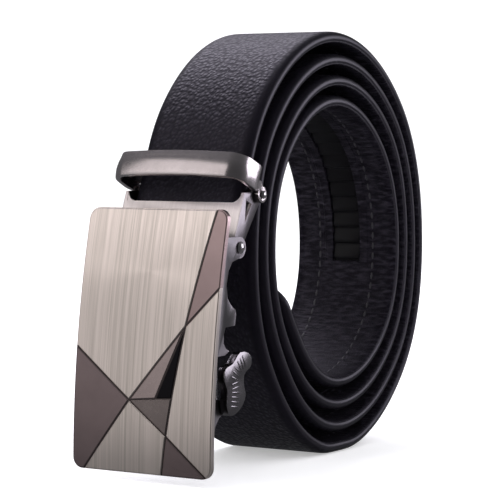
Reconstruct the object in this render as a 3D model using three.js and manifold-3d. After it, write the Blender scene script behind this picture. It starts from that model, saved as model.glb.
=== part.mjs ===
// A men's leather ratchet belt, coiled and standing on its edge, with the buckle in front.
// Millimetres, +Z up, +X along the strap's width, the buckle's face towards -Y.
// The origin is under the middle of the whole belt, on the surface that it stands on.
import * as THREE from 'three';
import { mergeVertices } from 'three/addons/utils/BufferGeometryUtils.js';
import Module from 'manifold-3d';

const wasm = await Module();
wasm.setup();

// Fits
const CLEARANCE = 0.3;
const SHEET = 1.2;

// Strap
const STRAP_WIDTH = 35;
const STRAP_THICKNESS = 3.3;
const STRAP_EDGE_RADIUS = 1.3;
const STRAP_STEPS = 224;
const COIL_RADIUS = 60;
const COIL_FLATTENING = 0.45;
const TAIL_ANGLE = 327;

// Ratchet track in the window on the strap's inner face
const TRACK_WIDTH = 8.9;
const TRACK_LENGTH = 290;
const TRACK_BASE = 0.5;
const TOOTH_PITCH = 5;
const TOOTH_HEIGHT = 0.6;
const TOOTH_PEAK = 0.7;
const TAIL_TO_WINDOW = 94;

// Clamp that holds the strap's cut end, in its own directions: up along the strap, and back through it
const CLAMP_SLANT = 22;
const CLAMP_LENGTH = 15.2;
const CLAMP_WALL = 1.0;
const JAW_OVERHANG = 0.7;
const TONGUE_SHORTER = 2.8;
const CORNER_SINK = 0.1;
const STRAP_START = 4.5;
const STRAP_ENTRY = 24;
const COIL_ENTRY = 29.5;
const HINGE_PIN_RADIUS = 1.0;
const JAW_PIN_RADIUS = 0.7;
const JAW_PIN_ABOVE_WALL = 2.0;
const JAW_PIN_STANDOFF = 1.85;
const JAW_EYE_WALL = 0.5;
const PIN_HEAD = 0.7;

// Keeper loop
const LOOP_BAND = 7.2;
const LOOP_WALL = 1.7;
const LOOP_CORNER = 6;
const LOOP_TILT = 24;
const LOOP_FRONT_GAP = 7.6;
const LOOP_UP = 20.4;
const LOOP_BOW = 1.0;
const LOOP_MARGIN = 0.7;
const LOOP_EAR = 4;

// Buckle
const PLATE_WIDTH = 45;
const PLATE_HEIGHT = 71;
const PLATE_THICKNESS = 1.5;
const PLATE_BEND = 280;
const PLATE_CORNER = 3;
const PLATE_TO_PIN = 10.3;
const PLATE_ABOVE_PIN = 10.4;
const WEB_THICKNESS = 1.0;
const WALL_DROP = 49.4;
const WALL_REACH = 12.6;
const EAR_RING = 1.6;
const PASSAGE_DEPTH = 5.2;

// Release lever
const LEVER_AXLE_RADIUS = 1.0;
const LEVER_AXLE_ABOVE_WALL_END = 7.2;
const BEARING_RING = 0.9;
const LEVER_LENGTH = 14.6;
const LEVER_THICKNESS = 2.2;
const PAWL_WIDTH = 36;
const PAWL_LENGTH = 9.5;
const PAWL_LIP = 0.4;

const radians = THREE.MathUtils.degToRad;
const halfStrap = STRAP_THICKNESS / 2;
const halfJaw = STRAP_WIDTH / 2 + JAW_OVERHANG;

// The middle of the strap's thickness round the coil, as shares of the coil's radius.
// A row is one turn from the outside in, a column one direction from the coil's middle.
const COIL_COLUMNS = ['front', 'frontTop', 'top', 'backTop', 'back', 'backBottom', 'bottom', 'frontBottom'];
const COIL_TURNS = [
  [0.812, 0.908, 0.984, 0.944, 0.903, 0.991, 1.023, 0.835],
  [0.728, 0.787, 0.877, 0.855, 0.824, 0.907, 0.915, 0.722],
  [0.640, 0.685, 0.775, 0.770, 0.739, 0.808, 0.807, 0.647],
  [0.577, 0.615, 0.677, 0.658, 0.647, 0.708, 0.698, 0.553],
  [0.530, 0.560],
];
const coilShares = COIL_TURNS.flat();
const COIL_COLUMN_ANGLE = 360 / COIL_COLUMNS.length;
const COIL_FROM = 31;
const COIL_TO = 360 * (COIL_TURNS.length - 2) + TAIL_ANGLE;
const COIL_ANGLE_STEP = 7.5;
const restHeight = COIL_FLATTENING - Math.max(...coilShares) * COIL_RADIUS;
const floorHeight = restHeight - halfStrap;

// Radius of the coil at an angle from the front, through the turns, by a cubic through the shares.
function coilRadius(angle) {
  const place = angle / COIL_COLUMN_ANGLE;
  const index = Math.floor(place);
  const f = place - index;
  const share = (i) => coilShares[THREE.MathUtils.clamp(i, 0, coilShares.length - 1)];
  const [p0, p1, p2, p3] = [-1, 0, 1, 2].map((step) => share(index + step));
  const cubic =
    2 * p1 +
    (p2 - p0) * f +
    (2 * p0 - 5 * p1 + 4 * p2 - p3) * f ** 2 +
    (3 * p1 - p0 - 3 * p2 + p3) * f ** 3;
  return (COIL_RADIUS * cubic) / 2;
}

function coilPoint(angle) {
  const r = coilRadius(angle);
  return new THREE.Vector3(0, -r * Math.cos(radians(angle)), r * Math.sin(radians(angle)));
}

// Points in a plane across X are Vector2s of (y, z).
// The clamp's own directions: up runs along the strap, back goes through it towards the coil.
const upDirection = new THREE.Vector2(Math.sin(radians(CLAMP_SLANT)), Math.cos(radians(CLAMP_SLANT)));
const backDirection = new THREE.Vector2(Math.cos(radians(CLAMP_SLANT)), -Math.sin(radians(CLAMP_SLANT)));
const strapFront = CLEARANCE;
const strapBack = strapFront + STRAP_THICKNESS;

// The coil leaves the clamp in line with it, so the hinge pin's place follows from the coil's first point.
const coilStart = coilPoint(COIL_FROM);
const hingePin = new THREE.Vector2(coilStart.y, coilStart.z)
  .addScaledVector(upDirection, -COIL_ENTRY)
  .addScaledVector(backDirection, -(strapFront + halfStrap));
const clampPoint = (up, back) =>
  hingePin.clone().addScaledVector(upDirection, up).addScaledVector(backDirection, back);

// A curve that is flattened where it would sink below the height that it rests at.
class RestingCurve extends THREE.Curve {
  constructor(curve, height) {
    super();
    this.curve = curve;
    this.height = height;
    this.arcLengthDivisions = 3000;
  }

  getPoint(t, target = new THREE.Vector3()) {
    this.curve.getPoint(t, target);
    target.z = Math.max(target.z, this.height);
    return target;
  }
}

function strapCurve() {
  const points = [];
  for (const up of [STRAP_START, (STRAP_START + STRAP_ENTRY) / 2, STRAP_ENTRY]) {
    const p = clampPoint(up, strapFront + halfStrap);
    points.push(new THREE.Vector3(0, p.x, p.y));
  }
  const count = Math.round((COIL_TO - COIL_FROM) / COIL_ANGLE_STEP);
  for (let i = 0; i <= count; i++) {
    points.push(coilPoint(THREE.MathUtils.lerp(COIL_FROM, COIL_TO, i / count)));
  }
  return new RestingCurve(new THREE.CatmullRomCurve3(points, false, 'centripetal'), restHeight);
}

// Solids and back
function toSolid(geometry) {
  const bare = geometry.clone();
  bare.deleteAttribute('normal');
  bare.deleteAttribute('uv');
  const merged = mergeVertices(bare, 1e-4);
  return new wasm.Manifold(
    new wasm.Mesh({
      numProp: 3,
      vertProperties: merged.attributes.position.array,
      triVerts: new Uint32Array(merged.index.array),
    })
  );
}

function toGeometry(solid) {
  const mesh = solid.getMesh();
  const geometry = new THREE.BufferGeometry();
  geometry.setAttribute('position', new THREE.BufferAttribute(mesh.vertProperties, mesh.numProp));
  geometry.setIndex(new THREE.BufferAttribute(mesh.triVerts, 1));
  geometry.computeVertexNormals();
  return geometry;
}

const union = (solids) => solids.reduce((all, solid) => all.add(solid));

// A closed outline of (y, z) points, extruded along X.
const ALONG_X = new THREE.Matrix4().makeBasis(
  new THREE.Vector3(0, 1, 0),
  new THREE.Vector3(0, 0, 1),
  new THREE.Vector3(1, 0, 0)
);

function prismAlongX(outline, fromX, toX) {
  const shape = outline instanceof THREE.Shape ? outline : new THREE.Shape(outline);
  return new THREE.ExtrudeGeometry(shape, { depth: toX - fromX, bevelEnabled: false, curveSegments: 8 })
    .translate(0, 0, fromX)
    .applyMatrix4(ALONG_X);
}

function rodAlongX(centre, radius, fromX, toX, sides = 20) {
  return new THREE.CylinderGeometry(radius, radius, toX - fromX, sides)
    .rotateZ(-Math.PI / 2)
    .translate((fromX + toX) / 2, centre.x, centre.y);
}

const prism = (outline, fromX, toX) => toSolid(prismAlongX(outline, fromX, toX));
const rod = (centre, radius, fromX, toX, sides) => toSolid(rodAlongX(centre, radius, fromX, toX, sides));
const bothSides = (make) => union([make(1), make(-1)]);

// Points of a pin head's dome, as shares of its radius and of its height.
const PIN_DOME = [
  { radius: 1.0, height: 0.0 },
  { radius: 0.6, height: 0.85 },
  { radius: 0.0, height: 1.0 },
];
const PIN_HEAD_WIDENING = 1.7;

// A pin through both side walls, with a low domed head on each end.
function headedPin(centre, radius, halfLength) {
  const headRadius = radius * PIN_HEAD_WIDENING;
  const upper = PIN_DOME.map(
    (share) => new THREE.Vector2(share.radius * headRadius, halfLength + share.height * PIN_HEAD)
  );
  const lower = upper.map((p) => new THREE.Vector2(p.x, -p.y)).reverse();
  const shank = [new THREE.Vector2(radius, -halfLength), new THREE.Vector2(radius, halfLength)];
  return new THREE.LatheGeometry([...lower, ...shank, ...upper], 20)
    .rotateZ(-Math.PI / 2)
    .translate(0, centre.x, centre.y);
}

// Strap and its ratchet track
const strapPath = strapCurve();
const strapLength = strapPath.getLength();
const windowEnd = (strapLength - TAIL_TO_WINDOW) / strapLength;
const windowStart = windowEnd - TRACK_LENGTH / strapLength;
const grooveDepth = CLEARANCE + TRACK_BASE + TOOTH_HEIGHT;

// A long thin outline beside the strap's middle line, between two offsets that point out of the coil.
function ribbonOutline(fromU, toU, stations, innerOffset, outerOffset) {
  const inner = [];
  const outer = [];
  const at = (u, offset) => {
    const p = strapPath.getPointAt(u);
    const t = strapPath.getTangentAt(u);
    return new THREE.Vector2(p.y - t.z * offset, p.z + t.y * offset);
  };
  for (const { u, lift } of stations) {
    const along = THREE.MathUtils.lerp(fromU, toU, u);
    inner.push(at(along, innerOffset - lift));
    outer.push(at(along, outerOffset));
  }
  return new THREE.Shape([...inner, ...outer.reverse()]);
}

function evenStations(count) {
  return Array.from({ length: count + 1 }, (_, i) => ({ u: i / count, lift: 0 }));
}

function strapGeometry() {
  const halfWidth = STRAP_WIDTH / 2;
  const r = STRAP_EDGE_RADIUS;
  const section = new THREE.Shape()
    .moveTo(-halfWidth + r, -halfStrap)
    .lineTo(halfWidth - r, -halfStrap)
    .absarc(halfWidth - r, -halfStrap + r, r, -Math.PI / 2, 0)
    .lineTo(halfWidth, halfStrap - r)
    .absarc(halfWidth - r, halfStrap - r, r, 0, Math.PI / 2)
    .lineTo(-halfWidth + r, halfStrap)
    .absarc(-halfWidth + r, halfStrap - r, r, Math.PI / 2, Math.PI)
    .lineTo(-halfWidth, -halfStrap + r)
    .absarc(-halfWidth + r, -halfStrap + r, r, Math.PI, 1.5 * Math.PI);
  const band = new THREE.ExtrudeGeometry(section, {
    extrudePath: strapPath,
    steps: STRAP_STEPS,
    curveSegments: 1,
  });
  const halfWindow = TRACK_WIDTH / 2 + CLEARANCE;
  const margin = CLEARANCE / strapLength;
  const groove = ribbonOutline(
    windowStart - margin,
    windowEnd + margin,
    evenStations(Math.round(TRACK_LENGTH / TOOTH_PITCH)),
    -halfStrap - CLEARANCE / 2,
    -halfStrap + grooveDepth
  );
  return toGeometry(toSolid(band).subtract(prism(groove, -halfWindow, halfWindow)));
}

function trackGeometry() {
  const teeth = Math.round(TRACK_LENGTH / TOOTH_PITCH);
  const stations = [];
  for (let i = 0; i < teeth; i++) {
    stations.push({ u: i / teeth, lift: 0 });
    stations.push({ u: (i + TOOTH_PEAK) / teeth, lift: TOOTH_HEIGHT });
  }
  stations.push({ u: 1, lift: 0 });
  const floorOffset = -halfStrap + grooveDepth - CLEARANCE;
  const outline = ribbonOutline(windowStart, windowEnd, stations, floorOffset - TRACK_BASE, floorOffset);
  return prismAlongX(outline, -TRACK_WIDTH / 2, TRACK_WIDTH / 2);
}

// Faces across X, from the inside out: the clamp's walls, the frame's walls, the pin heads.
const clampWallInner = halfJaw + CLEARANCE;
const clampWallOuter = clampWallInner + CLAMP_WALL;
const frameWallInner = clampWallOuter + CLEARANCE;
const frameWallOuter = frameWallInner + SHEET;
const jawPinUp = CLAMP_LENGTH + JAW_PIN_ABOVE_WALL;
const jawPinBack = strapBack + JAW_PIN_STANDOFF;
const jawPin = clampPoint(jawPinUp, jawPinBack);
const jawEye = JAW_PIN_RADIUS + CLEARANCE + JAW_EYE_WALL;
const clampEye = JAW_PIN_RADIUS + CLEARANCE + CLAMP_WALL;

// The clamp's own axes as a frame: X across, Y up along the strap, Z through it.
const clampFrame = new THREE.Matrix4()
  .makeBasis(
    new THREE.Vector3(1, 0, 0),
    new THREE.Vector3(0, upDirection.x, upDirection.y),
    new THREE.Vector3(0, -backDirection.x, -backDirection.y)
  )
  .setPosition(0, hingePin.x, hingePin.y);

// A rounded corner where the tongue's top edge runs up into the side wall on one side.
function tongueCorner(s) {
  const r = TONGUE_SHORTER;
  const top = CLAMP_LENGTH - TONGUE_SHORTER;
  const edge = s * (clampWallInner + CLAMP_WALL / 2);
  const centreX = s * (clampWallInner - r);
  const corner = new THREE.Shape()
    .moveTo(edge, top - r)
    .lineTo(edge, top + r)
    .lineTo(s * clampWallInner, top + r)
    .absarc(centreX, top + r, r, s > 0 ? 0 : Math.PI, s > 0 ? -Math.PI / 2 : 1.5 * Math.PI, s > 0)
    .lineTo(centreX, top - r);
  const depth = SHEET - 2 * CORNER_SINK;
  const sheet = new THREE.ExtrudeGeometry(corner, { depth, bevelEnabled: false, curveSegments: 8 })
    .translate(0, 0, CORNER_SINK)
    .applyMatrix4(clampFrame);
  return toSolid(sheet);
}

// The slot in the clamp's side wall, as shares of the wall's length and of the strap's thickness.
const CLAMP_SLOT = [
  { up: 0.5, back: 0.5 },
  { up: 0.9, back: 0.9 },
  { up: 0.9, back: 0.05 },
];
const CLAMP_KNEE = 0.2;

// The clamp's base: a tongue in front of the strap, rolled round the hinge pin, between two side walls.
function clampBaseGeometry() {
  const knuckle = HINGE_PIN_RADIUS + CLEARANCE + SHEET;
  const tongue = [
    clampPoint(HINGE_PIN_RADIUS + CLEARANCE, -SHEET),
    clampPoint(HINGE_PIN_RADIUS + CLEARANCE, 0),
    clampPoint(CLAMP_LENGTH - TONGUE_SHORTER, 0),
    clampPoint(CLAMP_LENGTH - TONGUE_SHORTER, -SHEET),
  ];
  const wall = [
    clampPoint(0, -SHEET),
    clampPoint(0, knuckle),
    clampPoint(CLAMP_LENGTH * CLAMP_KNEE, strapBack),
    clampPoint(jawPinUp, jawPinBack + clampEye),
    clampPoint(jawPinUp, jawPinBack - clampEye),
    clampPoint(CLAMP_LENGTH, -SHEET),
  ];
  const slot = CLAMP_SLOT.map(({ up, back }) =>
    clampPoint(up * CLAMP_LENGTH, strapFront + back * STRAP_THICKNESS)
  );
  const side = (s) => {
    const [from, to] = s > 0 ? [clampWallInner, clampWallOuter] : [-clampWallOuter, -clampWallInner];
    return prism(wall, from, to)
      .add(rod(hingePin, knuckle, from, to))
      .add(rod(jawPin, clampEye, from, to))
      .subtract(prism(slot, from - SHEET, to + SHEET));
  };
  const solid = union([
    prism(tongue, -clampWallOuter, clampWallOuter),
    bothSides(tongueCorner),
    rod(hingePin, knuckle, -clampWallInner - CLAMP_WALL / 2, clampWallInner + CLAMP_WALL / 2),
    bothSides(side),
  ]);
  const across = clampWallOuter + SHEET;
  return toGeometry(
    solid
      .subtract(rod(hingePin, HINGE_PIN_RADIUS + CLEARANCE, -across, across))
      .subtract(rod(jawPin, JAW_PIN_RADIUS + CLEARANCE, -across, across))
  );
}

// The jaw behind the strap's end: a plate with a bent lip, rolled round its pin.
function clampJawGeometry() {
  const face = strapBack + CLEARANCE;
  const plate = [
    clampPoint(STRAP_START, face),
    clampPoint(STRAP_START + SHEET, face),
    clampPoint(STRAP_START + 2 * SHEET, face + SHEET / 2),
    clampPoint(jawPinUp, face + SHEET / 2),
    clampPoint(jawPinUp, face + 1.5 * SHEET),
    clampPoint(STRAP_START, face + 1.5 * SHEET),
  ];
  const solid = prism(plate, -halfJaw, halfJaw)
    .add(rod(jawPin, jawEye, -halfJaw, halfJaw))
    .subtract(rod(jawPin, JAW_PIN_RADIUS + CLEARANCE, -halfJaw - SHEET, halfJaw + SHEET));
  return toGeometry(solid);
}

// The keeper loop: a closed band round the strap, with two ears on the jaw's pin.
const loopAcross = new THREE.Vector2(Math.cos(radians(LOOP_TILT)), -Math.sin(radians(LOOP_TILT)));
const loopUp = new THREE.Vector2(Math.sin(radians(LOOP_TILT)), Math.cos(radians(LOOP_TILT)));
const loopHalfWidth = frameWallOuter + LOOP_MARGIN;
const loopInside = LOOP_FRONT_GAP + STRAP_THICKNESS + CLEARANCE;

function loopOutline(halfWidth, front, back, corner, bow) {
  return new THREE.Shape()
    .moveTo(-halfWidth + corner, front)
    .quadraticCurveTo(0, front - 2 * bow, halfWidth - corner, front)
    .absarc(halfWidth - corner, front + corner, corner, -Math.PI / 2, 0)
    .lineTo(halfWidth, back - corner)
    .absarc(halfWidth - corner, back - corner, corner, 0, Math.PI / 2)
    .lineTo(-halfWidth + corner, back)
    .absarc(-halfWidth + corner, back - corner, corner, Math.PI / 2, Math.PI)
    .lineTo(-halfWidth, front + corner)
    .absarc(-halfWidth + corner, front + corner, corner, Math.PI, 1.5 * Math.PI);
}

function keeperLoopGeometry() {
  const rear = clampPoint(LOOP_UP, strapBack + CLEARANCE);
  const outline = loopOutline(loopHalfWidth, -loopInside - LOOP_WALL, LOOP_WALL, LOOP_CORNER, LOOP_BOW);
  const inner = LOOP_CORNER - LOOP_WALL;
  outline.holes.push(loopOutline(loopHalfWidth - LOOP_WALL, -loopInside, 0, inner, LOOP_BOW));
  const frame = new THREE.Matrix4().makeBasis(
    new THREE.Vector3(1, 0, 0),
    new THREE.Vector3(0, loopAcross.x, loopAcross.y),
    new THREE.Vector3(0, loopUp.x, loopUp.y)
  );
  frame.setPosition(0, rear.x, rear.y);
  const band = new THREE.ExtrudeGeometry(outline, { depth: LOOP_BAND, bevelEnabled: false, curveSegments: 4 })
    .translate(0, 0, -LOOP_BAND / 2)
    .applyMatrix4(frame);
  const eye = JAW_PIN_RADIUS + CLEARANCE + SHEET;
  const ear = [
    clampPoint(jawPinUp, jawPinBack - eye),
    clampPoint(jawPinUp, jawPinBack + eye),
    clampPoint(LOOP_UP, strapBack),
    clampPoint(LOOP_UP, strapBack - LOOP_EAR),
  ];
  const relief = [
    clampPoint(LOOP_UP - LOOP_BAND, 0),
    clampPoint(LOOP_UP - LOOP_BAND, jawPinBack + loopInside),
    clampPoint(jawPinUp + clampEye + CLEARANCE, jawPinBack + loopInside),
    clampPoint(jawPinUp + clampEye + CLEARANCE, 0),
  ];
  const side = (s) => {
    const [from, to] = s > 0 ? [frameWallInner, frameWallOuter] : [-frameWallOuter, -frameWallInner];
    return prism(ear, from, to).add(rod(jawPin, eye, from, to));
  };
  const across = frameWallOuter + SHEET;
  return toGeometry(
    toSolid(band)
      .subtract(prism(relief, -frameWallInner, frameWallInner))
      .add(bothSides(side))
      .subtract(rod(jawPin, JAW_PIN_RADIUS + CLEARANCE, -across, across))
  );
}

// The plate's curved face: how far forward it stands at a height, measured from the hinge pin.
const plateTop = hingePin.y + PLATE_ABOVE_PIN;
const plateBottom = plateTop - PLATE_HEIGHT;
const bendAt = (z) => (z - plateBottom) ** 2 / (2 * PLATE_BEND);
const plateFront = hingePin.x - PLATE_TO_PIN - bendAt(hingePin.y);
const faceAt = (z) => plateFront + bendAt(z);
const PLATE_STEPS = 20;

const evenHeights = (bottom, top) =>
  Array.from({ length: PLATE_STEPS + 1 }, (_, i) => THREE.MathUtils.lerp(bottom, top, i / PLATE_STEPS));

// A curved sheet behind the plate's face, from one height to another, as an outline of (y, z) points.
function curvedSheet(bottom, top, front, back) {
  const heights = evenHeights(bottom, top);
  const near = heights.map((z) => new THREE.Vector2(faceAt(z) + front, z));
  const far = heights.map((z) => new THREE.Vector2(faceAt(z) + back, z));
  return [...near.reverse(), ...far];
}

function faceplateGeometry() {
  const half = PLATE_WIDTH / 2;
  const r = PLATE_CORNER;
  const middle = (plateTop + plateBottom) / 2;
  const tall = PLATE_HEIGHT / 2;
  const front = new THREE.Shape()
    .absarc(half - r, middle + tall - r, r, 0, Math.PI / 2)
    .absarc(-half + r, middle + tall - r, r, Math.PI / 2, Math.PI)
    .absarc(-half + r, middle - tall + r, r, Math.PI, 1.5 * Math.PI)
    .absarc(half - r, middle - tall + r, r, 1.5 * Math.PI, 2 * Math.PI);
  const depth = 4 * PLATE_TO_PIN;
  const column = new THREE.ExtrudeGeometry(front, { depth, bevelEnabled: false, curveSegments: 3 })
    .translate(0, 0, -depth / 2)
    .rotateX(Math.PI / 2)
    .translate(0, plateFront, 0);
  const sheet = prism(curvedSheet(plateBottom - r, plateTop + r, 0, PLATE_THICKNESS), -half - r, half + r);
  return toGeometry(sheet.intersect(toSolid(column)));
}

// Rear edge of the frame's side wall: drop is a share of the wall's length below the hinge pin,
// reach a share of its depth behind the plate's face.
const WALL_EDGE = [
  { drop: 0.06, reach: 0.80 },
  { drop: 0.075, reach: 0.57 },
  { drop: 0.12, reach: 0.46 },
  { drop: 0.20, reach: 0.44 },
  { drop: 0.27, reach: 0.53 },
  { drop: 0.315, reach: 0.72 },
  { drop: 0.335, reach: 0.88 },
  { drop: 0.36, reach: 0.92 },
  { drop: 0.42, reach: 0.91 },
  { drop: 0.424, reach: 0.54 },
  { drop: 0.46, reach: 0.49 },
  { drop: 0.51, reach: 0.51 },
  { drop: 0.54, reach: 0.62 },
  { drop: 0.555, reach: 0.75 },
  { drop: 0.575, reach: 0.60 },
  { drop: 0.575, reach: 0.30 },
  { drop: 0.80, reach: 0.30 },
  { drop: 0.82, reach: 0.55 },
  { drop: 0.88, reach: 0.72 },
  { drop: 0.91, reach: 0.46 },
  { drop: 0.95, reach: 0.35 },
  { drop: 1.00, reach: 0.29 },
];

const webFront = PLATE_THICKNESS + CLEARANCE;
const webBack = webFront + WEB_THICKNESS;
const leverAxleHeight = hingePin.y - WALL_DROP + LEVER_AXLE_ABOVE_WALL_END;
const leverAxle = new THREE.Vector2(
  faceAt(leverAxleHeight) + webBack + PASSAGE_DEPTH + LEVER_AXLE_RADIUS,
  leverAxleHeight
);

// The frame: a web behind the plate and two side walls with the hinge's ears and the lever's bearings.
function frameGeometry() {
  const earRadius = HINGE_PIN_RADIUS + CLEARANCE + EAR_RING;
  const bearingRadius = LEVER_AXLE_RADIUS + CLEARANCE + BEARING_RING;
  const webTop = plateTop - PLATE_CORNER;
  const webBottom = hingePin.y - WALL_DROP - PLATE_CORNER;
  const web = curvedSheet(webBottom, webTop, webFront, webBack);
  const rear = WALL_EDGE.map(({ drop, reach }) => {
    const z = hingePin.y - drop * WALL_DROP;
    return new THREE.Vector2(faceAt(z) + reach * WALL_REACH, z);
  });
  const heights = evenHeights(hingePin.y - WALL_DROP, hingePin.y + earRadius);
  const near = heights.map((z) => new THREE.Vector2(faceAt(z) + (webFront + webBack) / 2, z));
  const wall = [...near, new THREE.Vector2(hingePin.x, hingePin.y + earRadius), hingePin, ...rear];
  const side = (s) => {
    const [from, to] = s > 0 ? [frameWallInner, frameWallOuter] : [-frameWallOuter, -frameWallInner];
    return prism(wall, from, to)
      .add(rod(hingePin, earRadius, from, to))
      .add(rod(leverAxle, bearingRadius, from, to));
  };
  const across = frameWallOuter + SHEET;
  return toGeometry(
    prism(web, -frameWallOuter, frameWallOuter)
      .add(bothSides(side))
      .subtract(rod(hingePin, HINGE_PIN_RADIUS + CLEARANCE, -across, across))
      .subtract(rod(leverAxle, LEVER_AXLE_RADIUS + CLEARANCE, -across, across))
  );
}

// The lever's outline from its axle, as shares of its length: back towards the coil, and up.
const LEVER_OUTLINE = [
  { back: 0.24, up: 0.99 },
  { back: 0.60, up: 0.90 },
  { back: 0.60, up: 0.71 },
  { back: 0.38, up: 0.58 },
  { back: 0.36, up: 0.38 },
  { back: 0.42, up: 0.18 },
  { back: 0.22, up: -0.06 },
  { back: -0.12, up: -0.14 },
  { back: -0.22, up: 0.05 },
  { back: -0.20, up: 0.32 },
  { back: -0.30, up: 0.52 },
  { back: -0.26, up: 0.72 },
  { back: -0.02, up: 0.80 },
];

// The release lever outside the right wall, on the axle that carries the pawl behind the strap's way through.
function releaseLeverGeometry() {
  const corners = LEVER_OUTLINE.map(
    ({ back, up }) =>
      new THREE.Vector3(leverAxle.x + back * LEVER_LENGTH, leverAxle.y + up * LEVER_LENGTH, 0)
  );
  const outline = new THREE.CatmullRomCurve3(corners, true);
  const rim = outline
    .getPoints(3 * LEVER_OUTLINE.length)
    .slice(0, -1)
    .map((p) => new THREE.Vector2(p.x, p.y));
  const leverInner = frameWallOuter + CLEARANCE;
  const pawlFront = leverAxle.x - SHEET / 2;
  const pawlBack = leverAxle.x + SHEET / 2;
  const pawlTop = leverAxle.y + PAWL_LENGTH;
  const pawl = [
    new THREE.Vector2(pawlFront, leverAxle.y),
    new THREE.Vector2(pawlBack, leverAxle.y),
    new THREE.Vector2(pawlBack, pawlTop),
    new THREE.Vector2(pawlFront - PAWL_LIP, pawlTop),
    new THREE.Vector2(pawlFront, pawlTop - SHEET),
  ];
  return toGeometry(
    union([
      prism(rim.reverse(), leverInner, leverInner + LEVER_THICKNESS),
      rod(leverAxle, LEVER_AXLE_RADIUS, -frameWallOuter, leverInner + SHEET),
      prism(pawl.reverse(), -PAWL_WIDTH / 2, PAWL_WIDTH / 2),
    ])
  );
}

// Materials
const material = (color, roughness, metalness) =>
  new THREE.MeshStandardMaterial({ color, roughness, metalness });
const blackLeather = () => material(0x17171b, 0.55, 0);
const blackPlastic = () => material(0x0e0e10, 0.5, 0);
const gunmetal = () => material(0x8d8489, 0.25, 1);
const brushedSilver = () => material(0xc9c0ba, 0.38, 1);

// Assembly
const group = new THREE.Group();
const place = (name, geometry, finish) => {
  const mesh = new THREE.Mesh(geometry, finish);
  mesh.name = name;
  group.add(mesh);
};

place('strap', strapGeometry(), blackLeather());
place('ratchet_track', trackGeometry(), blackPlastic());
place('clamp_base', clampBaseGeometry(), brushedSilver());
place('clamp_jaw', clampJawGeometry(), gunmetal());
place('jaw_pin', headedPin(jawPin, JAW_PIN_RADIUS, frameWallOuter + CLEARANCE), gunmetal());
place('hinge_pin', headedPin(hingePin, HINGE_PIN_RADIUS, frameWallOuter + CLEARANCE), gunmetal());
place('keeper_loop', keeperLoopGeometry(), gunmetal());
place('buckle_frame', frameGeometry(), gunmetal());
place('faceplate', faceplateGeometry(), brushedSilver());
place('release_lever', releaseLeverGeometry(), gunmetal());

// The whole belt is moved so that the origin is under its middle.
const box = new THREE.Box3().setFromObject(group, true);
const middle = box.getCenter(new THREE.Vector3());
group.position.set(-middle.x, -middle.y, -floorHeight);

export default group;
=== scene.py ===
"""A coiled leather ratchet belt, dressed round its packed construction model.

Everything is in metres, in the frame of the construction model: +X runs across the strap towards
the release lever, the plate faces -Y, and the belt stands on the floor at height 0.
"""

import logging
import math
from collections import Counter
from contextlib import contextmanager
from dataclasses import dataclass, field
from enum import Enum
from typing import Iterable, Iterator, Sequence

import bmesh
import bpy
import numpy as np
from mathutils import Matrix, Vector


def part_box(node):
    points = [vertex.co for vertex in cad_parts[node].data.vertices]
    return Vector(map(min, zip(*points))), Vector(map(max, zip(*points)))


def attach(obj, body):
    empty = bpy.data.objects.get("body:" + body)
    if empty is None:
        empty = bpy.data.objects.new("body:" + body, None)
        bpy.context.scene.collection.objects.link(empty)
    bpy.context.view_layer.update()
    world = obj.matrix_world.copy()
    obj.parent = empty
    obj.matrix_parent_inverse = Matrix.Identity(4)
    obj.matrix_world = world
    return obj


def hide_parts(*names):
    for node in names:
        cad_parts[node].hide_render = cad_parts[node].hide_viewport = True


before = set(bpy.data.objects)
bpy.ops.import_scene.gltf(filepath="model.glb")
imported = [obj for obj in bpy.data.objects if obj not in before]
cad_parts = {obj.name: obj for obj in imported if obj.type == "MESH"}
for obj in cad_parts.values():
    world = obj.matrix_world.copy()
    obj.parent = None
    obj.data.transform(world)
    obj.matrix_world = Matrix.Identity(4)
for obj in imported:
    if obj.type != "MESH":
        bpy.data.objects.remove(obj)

log = logging.getLogger("ratchet_belt")

MM = 0.001
Piece = bpy.types.Object
Material = bpy.types.Material
Socket = bpy.types.NodeSocket
Point2 = tuple[float, float]
Point3 = tuple[float, float, float]
CUT_TOLERANCE = 1e-7
SOFT_ANGLE = 32.0


# Working helpers


def deselect_all() -> None:
    """Leave edit mode and deselect every object."""
    if bpy.context.object and bpy.context.object.mode != "OBJECT":
        bpy.ops.object.mode_set(mode="OBJECT")
    bpy.ops.object.select_all(action="DESELECT")


def make_active(piece: Piece) -> None:
    """Select one object alone and make it the active one."""
    deselect_all()
    piece.select_set(True)
    bpy.context.view_layer.objects.active = piece


def mesh_piece(name: str, points: Sequence, faces: Sequence) -> Piece:
    """Make an object from points and faces.

    Args:
        name: the piece's name.
        points: the vertices, in metres.
        faces: the faces, as tuples of vertex numbers.

    Returns:
        The new object, linked to the scene.
    """
    mesh = bpy.data.meshes.new(name)
    mesh.from_pydata([tuple(p) for p in points], [], [tuple(f) for f in faces])
    mesh.update()
    piece = bpy.data.objects.new(name, mesh)
    bpy.context.scene.collection.objects.link(piece)
    return piece


def circle(sides: int) -> list[Point2]:
    """The cosine and sine of evenly spaced angles round a circle."""
    turns = [2 * math.pi * k / sides for k in range(sides)]
    return [(math.cos(turn), math.sin(turn)) for turn in turns]


def arc(start: float, end: float, count: int) -> list[Point3]:
    """Evenly spaced angles, in degrees, each after its cosine and sine."""
    turns = [(math.radians(a), a) for a in np.linspace(start, end, count)]
    return [(math.cos(turn), math.sin(turn), a) for turn, a in turns]


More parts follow.
